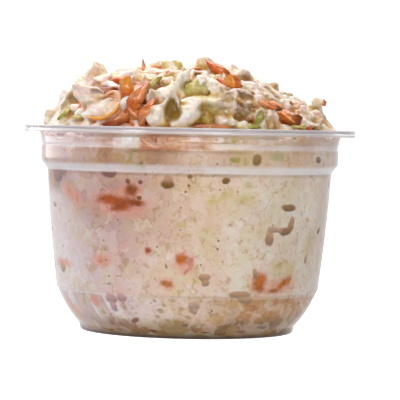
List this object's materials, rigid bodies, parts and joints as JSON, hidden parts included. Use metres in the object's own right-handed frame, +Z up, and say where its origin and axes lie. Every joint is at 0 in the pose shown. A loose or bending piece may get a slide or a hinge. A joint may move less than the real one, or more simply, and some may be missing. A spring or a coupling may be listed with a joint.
{
  "type": "coleslaw in a clear tub",
  "caption": "Creamy coleslaw of cut cabbage and carrot shreds, heaped above the rim of a round clear plastic tub with a flanged lip and a stacking band.",
  "frame": {"origin": "middle of the tub's foot, on the surface that it stands on", "axes": "+Z up through the heap, -Y towards the front, +X to the right seen from the front"},
  "size_m": [0.117, 0.117, 0.0974],
  "materials": {
    "tub": "clear thin thermoformed plastic, glossy",
    "slaw": "creamy dressing packed with cabbage bits, moist",
    "cabbage": "pale translucent cabbage coated in dressing, moist",
    "carrot": "orange carrot shreds coated in dressing, moist",
    "greens": "yellow-green outer cabbage leaf, moist",
    "dressing": "thick cream dressing, glossy"
  },
  "bodies": {
    "root": {"tub": "tub", "coleslaw": "slaw"}
  },
  "joints": []
}
